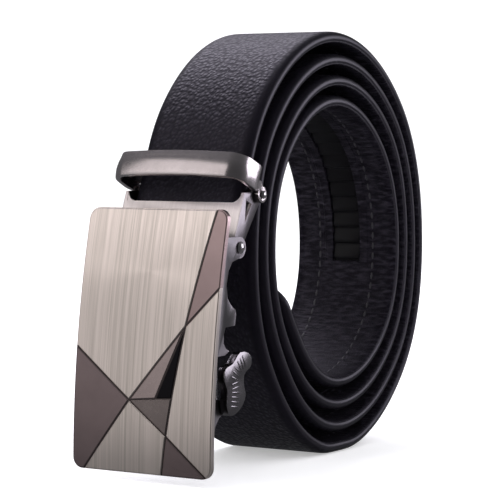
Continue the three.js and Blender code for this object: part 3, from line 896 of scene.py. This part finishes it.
@dataclass
class Faceplate:
    """The curved plate with its facets, grooves between them, and a bevelled rim."""

    width: float = 45 * MM
    height: float = 71 * MM
    thickness: float = 1.5 * MM
    bend_radius: float = 280 * MM
    corner: float = 3 * MM
    groove: float = 0.17 * MM
    chamfer: float = 0.22 * MM
    relief: float = 0.15 * MM
    bands: int = 24
    points: dict = field(
        default_factory=lambda: dict(
            P=(0.0, 0.0), Q=(1.0, 0.0), R=(1.0, 1.0), S=(0.0, 1.0), A=(0.0, 0.530), B=(0.080, 1.0),
            C=(0.405, 0.724), D=(0.676, 0.851), E=(0.970, 1.0), F=(0.781, 0.436), G=(1.0, 0.288),
            H=(0.920, 0.0), I=(0.647, 1.0), K=(0.5955, 0.7126), M=(0.710, 0.7076),
        )
    )
    # The polished facets are flat; their tones, from near black to pinkish, are painted reflections of the
    # light each facet would catch.
    facets: tuple = (
        Facet("PHFCA", Finish.BRUSHED),
        Facet("HQGF", Finish.SLIVER),
        Facet("FGREDM", Finish.BRUSHED),
        Facet("ACBS", Finish.LEFT),
        Facet("BCDI", Finish.BRUSHED),
        Facet("IDE", Finish.LOW),
        Facet("CFK", Finish.PINK_REFLECTION),
        Facet("FMK", Finish.BLACK),
        Facet("CKMD", Finish.SMOKE),
    )

    def outline(self) -> list[Point2]:
        """The plate's rounded outline, seen from the front, anticlockwise, from its middle."""
        half, tall, r = self.width / 2, self.height / 2, self.corner
        corners = (
            (half - r, tall - r, 0),
            (-half + r, tall - r, 90),
            (-half + r, -tall + r, 180),
            (half - r, -tall + r, 270),
        )
        return [
            (x + r * cos, z + r * sin)
            for x, z, first in corners
            for cos, sin, _ in arc(first, first + 90, 8)
        ]

    def place(self, name: str) -> Point2:
        """A named corner's place, from the plate's middle."""
        u, v = self.points[name]
        return (u - 0.5) * self.width, (0.5 - v) * self.height

    @staticmethod
    def clipped(polygon: list[Point2], rim: list[Point2]) -> list[Point2]:
        """Clip a polygon to the inside of a convex anticlockwise rim."""
        for (ax, az), (bx, bz) in zip(rim, rim[1:] + rim[:1]):
            kept: list[Point2] = []

            def inside(p: Point2) -> float:
                return (bx - ax) * (p[1] - az) - (bz - az) * (p[0] - ax)

            for p, q in zip(polygon, polygon[1:] + polygon[:1]):
                dp, dq = inside(p), inside(q)
                if dp >= -1e-12:
                    kept.append(p)
                if (dp > 1e-12 and dq < -1e-12) or (dp < -1e-12 and dq > 1e-12):
                    f = dp / (dp - dq)
                    kept.append((p[0] + (q[0] - p[0]) * f, p[1] + (q[1] - p[1]) * f))
            polygon = kept
        return polygon

    def build(self) -> Piece:
        """Build the plate flat, facet by facet, then bend it to its curve.

        Returns:
            The plate, which replaces its construction node.
        """
        low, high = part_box("faceplate")
        middle_x, middle_z = (low.x + high.x) / 2, (low.z + high.z) / 2
        rim = self.outline()
        points: list[Point3] = []
        faces = []
        for facet in self.facets:
            polygon = self.clipped([self.place(c) for c in facet.corners], rim)
            start = len(points)
            points += [(x, 0.0, z) for x, z in polygon]
            faces.append(tuple(range(start, len(points))))
        piece = mesh_piece("faceplate_facets", points, faces)
        for finish, material in self.finishes().items():
            piece.data.materials.append(material)
        for face, facet in zip(piece.data.polygons, self.facets):
            face.material_index = facet.finish.value
        with editing(piece, "FACE"):
            bpy.ops.mesh.remove_doubles(threshold=0.02 * MM)
            bpy.ops.mesh.normals_make_consistent(inside=False)
        if piece.data.polygons[0].normal.y > 0:
            with editing(piece):
                bpy.ops.mesh.flip_normals()
        self.raise_facets(piece)
        self.close_back(piece)
        self.bend(piece, middle_x, middle_z, low.y)
        smooth_by_angle(piece, 12)
        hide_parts("faceplate")
        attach(piece, "buckle")
        return piece

    def raise_facets(self, piece: Piece) -> None:
        """Inset every facet twice: a flat groove round it, then a chamfer up to its top."""
        with editing(piece):
            bpy.ops.mesh.inset(thickness=self.groove, depth=0.0, use_individual=True)
        shared = Counter(key for face in piece.data.polygons for key in face.edge_keys)
        for face in piece.data.polygons:
            at_rim = any(shared[key] == 1 for key in face.edge_keys)
            if not face.select and not at_rim:
                face.material_index = Finish.GROOVE.value
        with editing(piece, everything=False):
            bpy.ops.mesh.inset(thickness=self.chamfer, depth=self.relief, use_individual=True)

    def close_back(self, piece: Piece) -> None:
        """Extrude the rim back and close it with the plate's rear face."""
        mesh = bmesh.new()
        mesh.from_mesh(piece.data)
        rim = [e for e in mesh.edges if len(e.link_faces) == 1]
        made = bmesh.ops.extrude_edge_only(mesh, edges=rim)
        moved = [v for v in made["geom"] if isinstance(v, bmesh.types.BMVert)]
        bmesh.ops.translate(mesh, verts=moved, vec=(0, self.thickness - self.relief, 0))
        back = [e for e in mesh.edges if len(e.link_faces) == 1]
        bmesh.ops.contextual_create(mesh, geom=back)
        for face in mesh.faces:
            rear = all(abs(v.co.y) > CUT_TOLERANCE or v in moved for v in face.verts)
            if rear and face.calc_center_median().y > 0:
                face.material_index = Finish.GROOVE.value
        for k in range(1, self.bands):
            level = -self.height / 2 + self.height * k / self.bands
            cut_through(mesh, (0, 0, level), (0, 0, 1))
        bmesh.ops.recalc_face_normals(mesh, faces=mesh.faces)
        mesh.to_mesh(piece.data)
        mesh.free()

    def bend(self, piece: Piece, middle_x: float, middle_z: float, front: float) -> None:
        """Set the flat plate to its place and curve."""
        for vertex in piece.data.vertices:
            x, y, z = vertex.co
            bowed = (z + self.height / 2) ** 2 / (2 * self.bend_radius)
            vertex.co = (middle_x + x, front + self.relief + y + bowed, middle_z + z)
        piece.data.update()

    @staticmethod
    def finishes() -> dict[Finish, Material]:
        """The plate's materials by finish, each polished facet with its painted reflection tone."""
        silver = BrushedMetal("plate_brushed", colour(0.83, 0.735, 0.69), colour(0.63, 0.565, 0.52))
        # Painted reflections: the facets really are polished, but their tones (all but the groove's), from
        # near black to pinkish, stand for what each one mirrors rather than the metal's colour.
        polished = (
            (Finish.LEFT, (0.225, 0.175, 0.178), 0.30),
            (Finish.SLIVER, (0.335, 0.25, 0.25), 0.30),
            (Finish.LOW, (0.22, 0.172, 0.175), 0.30),
            (Finish.PINK_REFLECTION, (0.38, 0.31, 0.305), 0.28),
            (Finish.BLACK, (0.012, 0.011, 0.013), 0.30),
            (Finish.SMOKE, (0.22, 0.185, 0.18), 0.28),
            (Finish.GROOVE, (0.055, 0.045, 0.045), 0.30),
        )
        made = {Finish.BRUSHED: silver.build()}
        for finish, tone, roughness in polished:
            name = f"facet_{finish.name.lower()}"
            made[finish] = PolishedMetal(name, colour(*tone), roughness).build()
        return made


# The small metal pieces


@dataclass
class MetalPiece:
    """A construction piece with softened edges and a metal finish, and painted shade on its sides if it is
    given one.
    """

    node: str
    name: str
    body: str
    slot: str
    finish: PolishedMetal | BrushedMetal
    edge: float = 0.18 * MM
    # A darker metal for the faces turned along X: painted shade on the piece's sides.
    painted_side_shade: PolishedMetal | None = None

    def build(self) -> Piece:
        """Build the piece, which replaces its construction node."""
        piece = softened_copy(self.node, self.name, self.edge)
        self.shape(piece)
        piece.data.materials.append(self.finish.build())
        # Faces turned along X take the darker metal: painted shade.
        if self.painted_side_shade is not None:
            piece.data.materials.append(self.painted_side_shade.build())
            for face in piece.data.polygons:
                face.material_index = int(abs(face.normal.x) > 0.5)
        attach(piece, self.body)
        return piece

    def shape(self, piece: Piece) -> None:
        """Change the softened copy's shape; a plain piece keeps it."""


@dataclass
class KeeperRing(MetalPiece):
    """The keeper loop, whose front and side faces are crowned across the band."""

    tilt: float = 24.0
    half_band: float = 3.6 * MM
    crown: float = 0.62 * MM
    strips: int = 12
    fade: float = 4.0 * MM

    def shape(self, piece: Piece) -> None:
        """Crown the band along the strap's slant."""
        low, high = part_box(self.node)
        turn = math.radians(self.tilt)
        up = Vector((0.0, math.sin(turn), math.cos(turn)))
        back = Vector((0.0, math.cos(turn), -math.sin(turn)))
        self.crown_band(piece, (low + high) / 2, up, back)
        smooth_by_angle(piece, SOFT_ANGLE)

    def crown_band(self, piece: Piece, centre: Vector, up: Vector, back: Vector) -> None:
        """Draw the band's upper and lower rims in, more towards the rims, and not at the rear.

        Args:
            piece: the loop.
            centre: the middle of the loop's box.
            up: the direction along the strap.
            back: the direction through the strap.
        """
        mesh = bmesh.new()
        mesh.from_mesh(piece.data)
        for k in range(1, self.strips):
            level = self.half_band * (2 * k / self.strips - 1)
            cut_through(mesh, centre + up * level, up)
        mesh.normal_update()
        moves = {}
        for vertex in mesh.verts:
            rel = vertex.co - centre
            outward = vertex.normal - up * vertex.normal.dot(up)
            if outward.length < 0.02 or rel.dot(outward) <= 0:
                continue
            share = min(abs(rel.dot(up)) / self.half_band, 1.0)
            front = min(max(1.0 - rel.dot(back) / self.fade, 0.0), 1.0)
            moves[vertex] = -outward.normalized() * self.crown * share**2 * front
        for vertex, move in moves.items():
            vertex.co += move
        mesh.to_mesh(piece.data)
        mesh.free()


@dataclass
class LeverRidges:
    """Grip ridges across the lever's outer face: one modelled, the rest repeats along its length."""

    finish: PolishedMetal
    line: tuple = ((0.36, 0.10), (0.41, 0.39), (0.38, 0.57), (0.52, 0.76), (0.76, 0.86))
    reach: float = 2.3 * MM
    radius: float = 0.42 * MM
    stand: float = 0.16 * MM
    count: int = 12

    def build(self) -> Piece:
        """Build the ridges, which ride on the lever."""
        low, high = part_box("release_lever")
        size = high - low
        route = np.array([(low.y + a * size.y, low.z + b * size.z) for a, b in self.line])
        spaced = Strap.even(route, 0.02 * MM)
        points, faces = [], []
        for i in range(self.count):
            index = int((len(spaced) - 1) * (i + 0.5) / self.count)
            ahead = spaced[min(index + 40, len(spaced) - 1)] - spaced[max(index - 40, 0)]
            along = ahead / np.linalg.norm(ahead)
            across = np.array([along[1], -along[0]])
            self.add_ridge(points, faces, high.x, spaced[index], along, across)
        piece = mesh_piece("lever_grip", points, faces)
        face_outward(piece, 60)
        piece.data.materials.append(self.finish.build())
        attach(piece, "lever")
        return piece

    def add_ridge(
        self,
        points: list,
        faces: list,
        face_x: float,
        place: np.ndarray,
        along: np.ndarray,
        across: np.ndarray,
    ) -> None:
        """Add one round-ended ridge to the points and faces.

        Args:
            points: the points so far.
            faces: the faces so far.
            face_x: where the lever's outer face lies.
            place: the ridge's middle, (y, z).
            along: the lever's direction there, (y, z).
            across: the ridge's own direction, (y, z).
        """
        rings = ((-1.0, 0.15), (-0.9, 0.6), (-0.7, 1.0), (0.7, 1.0), (0.9, 0.6), (1.0, 0.15))
        sides = 8
        start = len(points)
        for reach, swell in rings:
            centre = place + across * reach * self.reach
            for cos, sin in circle(sides):
                spot = centre + along * self.radius * swell * cos
                x = face_x + self.stand - self.radius + self.radius * swell * sin
                points.append((x, spot[0], spot[1]))
        faces += join_rings(start, len(rings), sides)


@dataclass
class Buckle:
    """Every metal piece of the buckle besides its plate."""

    gunmetal: PolishedMetal = PolishedMetal("gunmetal_plate", colour(0.27, 0.25, 0.265), 0.30)
    bright: PolishedMetal = PolishedMetal("gunmetal_bright", colour(0.20, 0.185, 0.195), 0.24)

    def pieces(self) -> list[MetalPiece]:
        """The pieces with their names, bodies and finishes."""
        tongue = BrushedMetal(
            "tongue_satin", colour(0.98, 0.90, 0.89), colour(0.90, 0.825, 0.815), roughness=0.34
        )
        rivet = PolishedMetal("rivet_polish", colour(0.50, 0.47, 0.48), 0.20)
        # Painted shade: the tongue's sides, turned along X, get a darker polished metal so that they read
        # as shaded.
        side_shade_metal = PolishedMetal("clamp_side_painted_shade", colour(0.17, 0.155, 0.165), 0.30)
        loop = PolishedMetal("loop_polish", colour(0.52, 0.473, 0.478), 0.24)
        return [
            MetalPiece("clamp_base", "clamp_tongue", "belt", "silver", tongue, 0.15 * MM, side_shade_metal),
            MetalPiece("clamp_jaw", "clamp_flap", "belt", "gunmetal", self.gunmetal, 0.15 * MM),
            MetalPiece("jaw_pin", "flap_rivet", "belt", "gunmetal", rivet, 0.08 * MM),
            MetalPiece("hinge_pin", "hinge_rivet", "belt", "gunmetal", rivet, 0.08 * MM),
            KeeperRing("keeper_loop", "keeper_ring", "belt", "polished_gunmetal", loop, 0.25 * MM),
            MetalPiece("buckle_frame", "frame_channel", "buckle", "gunmetal", self.gunmetal, 0.16 * MM),
            MetalPiece("release_lever", "thumb_lever", "lever", "gunmetal", self.bright, 0.45 * MM),
        ]

    def build(self) -> list[Piece]:
        """Build the pieces."""
        return [piece.build() for piece in self.pieces()] + [LeverRidges(self.bright).build()]


# The studio


@dataclass(frozen=True)
class Card:
    """A soft rectangular light: where it hangs, its size and its power."""

    name: str
    place: tuple
    size: Point2
    watts: float
    tint: tuple = (1.0, 1.0, 1.0)


@dataclass
class Studio:
    """Backdrop, lights and camera."""

    azimuth: float = 32.0
    elevation: float = 3.1
    lens: float = 158.05
    sensor: float = 36.0
    camera_place: tuple = (0.334475, -0.545930, 0.094279)
    aim: tuple = (0.0, -0.01, 0.06)
    room: tuple = colour(0.93, 0.95, 1.0)
    room_strength: float = 0.16
    unlit_side: tuple = (0.68, -0.73, 0.0)
    unlit_strength: float = 0.08
    paper: tuple = (colour(0.74, 0.74, 0.748), colour(0.77, 0.77, 0.778))
    paper_glow: float = 0.36
    floor_radius: float = 2.6
    cove_radius: float = 1.4
    wall_height: float = 3.0
    cards: tuple = (
        Card("front_card", (-0.72, -1.15, 0.95), (1.4, 0.9), 4.2, (1.0, 0.955, 0.94)),
        Card("low_card", (-0.85, -1.36, 0.27), (1.6, 0.82), 2.25, (1.0, 0.97, 0.95)),
        Card("top_card", (-0.58, 0.46, 1.10), (0.9, 0.9), 11.2, (0.91, 0.87, 1.0)),
        Card("rear_card", (1.05, 1.10, 0.42), (1.0, 0.8), 11.0, (0.92, 0.90, 1.0)),
    )

    def cove_profile(self) -> list[Point2]:
        """The paper cove's profile, from its middle outward, up and back over the belt."""
        profile = [(0.0, 0.0), (0.4, 0.0), (self.floor_radius, 0.0)]
        for cos, sin, _ in arc(9, 90, 10):
            profile.append((self.floor_radius + self.cove_radius * sin, self.cove_radius * (1 - cos)))
        outer = self.floor_radius + self.cove_radius
        return profile + [(outer * cos, self.wall_height + outer * sin) for cos, sin, _ in arc(0, 90, 8)]

    def build_backdrop(self) -> Piece:
        """Set a round cove of pale paper: the floor that the belt stands on, curved up all round it.

        Polished metal and leather don't mirror it, as in a photograph cut out on white.
        """
        profile = self.cove_profile()
        around = circle(64)
        points = [(radius * cos, radius * sin, height) for radius, height in profile for cos, sin in around]
        cove = mesh_piece("paper_cove", points, join_rings(0, len(profile), len(around), capped=False))
        with editing(cove):
            bpy.ops.mesh.remove_doubles(threshold=0.1 * MM)
            bpy.ops.mesh.normals_make_consistent(inside=True)
        smooth_by_angle(cove, 60)
        cove.visible_glossy = False
        s = Shader("cove_paper")
        s.set(
            Base_Color=s.mixed(s.noise(s.place(), 900.0), *self.paper),
            Roughness=0.75,
            Specular_IOR_Level=0.1,
            Emission_Color=grey(1.0),
            Emission_Strength=self.paper_glow,
        )
        cove.data.materials.append(s.material)
        return cove

    def build_camera(self) -> Piece:
        """Set the camera at the photograph's angle."""
        a, e = math.radians(self.azimuth), math.radians(self.elevation)
        back = Vector((math.sin(a) * math.cos(e), -math.cos(a) * math.cos(e), math.sin(e)))
        right = Vector((math.cos(a), math.sin(a), 0.0))
        up = back.cross(right)
        data = bpy.data.cameras.new("camera")
        data.lens = self.lens
        data.sensor_width = self.sensor
        data.clip_start = 0.01
        data.clip_end = 100.0
        camera = bpy.data.objects.new("camera", data)
        bpy.context.scene.collection.objects.link(camera)
        turned = Matrix((right, up, back)).transposed().to_4x4()
        camera.matrix_world = Matrix.Translation(Vector(self.camera_place)) @ turned
        bpy.context.scene.camera = camera
        return camera

    def hang(self, card: Card) -> None:
        """Hang one light, aimed at the belt."""
        data = bpy.data.lights.new(card.name, "AREA")
        data.shape = "RECTANGLE"
        data.size, data.size_y = card.size
        data.energy = card.watts
        data.color = card.tint
        light = bpy.data.objects.new(card.name, data)
        light.location = card.place
        light.visible_camera = False
        ahead = Vector(self.aim) - Vector(card.place)
        light.rotation_euler = ahead.to_track_quat("-Z", "Y").to_euler()
        bpy.context.scene.collection.objects.link(light)

    def build_lights(self) -> None:
        """Dim the room and hang the lights, so that the leather stays dark."""
        world = bpy.data.worlds.new("studio")
        bpy.context.scene.world = world
        world.use_nodes = True
        background = world.node_tree.nodes["Background"]
        background.inputs["Color"].default_value = self.room
        self.shade_room(world, background)
        for card in self.cards:
            self.hang(card)
        bpy.context.scene.view_settings.view_transform = "Standard"

    def shade_room(self, world: bpy.types.World, background: bpy.types.Node) -> None:
        """Let the room fall off towards the camera's side, where nothing is lit."""
        tree = world.node_tree
        ahead = tree.nodes.new("ShaderNodeTexCoord")
        facing = tree.nodes.new("ShaderNodeVectorMath")
        facing.operation = "DOT_PRODUCT"
        facing.inputs[1].default_value = self.unlit_side
        tree.links.new(ahead.outputs["Generated"], facing.inputs[0])
        fall = tree.nodes.new("ShaderNodeMapRange")
        tree.links.new(facing.outputs["Value"], fall.inputs["Value"])
        fall.inputs["From Min"].default_value = 0.1
        fall.inputs["From Max"].default_value = 0.8
        fall.inputs["To Min"].default_value = self.room_strength
        fall.inputs["To Max"].default_value = self.unlit_strength
        tree.links.new(fall.outputs["Result"], background.inputs["Strength"])

    def build(self) -> None:
        """Set the whole studio."""
        self.build_backdrop()
        self.build_lights()
        self.build_camera()


def corners(box: Iterable) -> list[list[float]]:
    """A box as plain lists of numbers."""
    return [[float(v) for v in corner] for corner in box]


def main() -> None:
    """Build the belt and its studio, and log each piece's face count."""
    logging.basicConfig(level=logging.INFO, format="%(message)s")
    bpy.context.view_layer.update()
    Studio().build()
    pieces: list[Piece] = []
    pieces += Strap().build()
    pieces.append(Faceplate().build())
    pieces += Buckle().build()
    for piece in pieces:
        log.info("%s: %d faces", piece.name, len(piece.data.polygons))


if __name__ == "__main__":
    main()
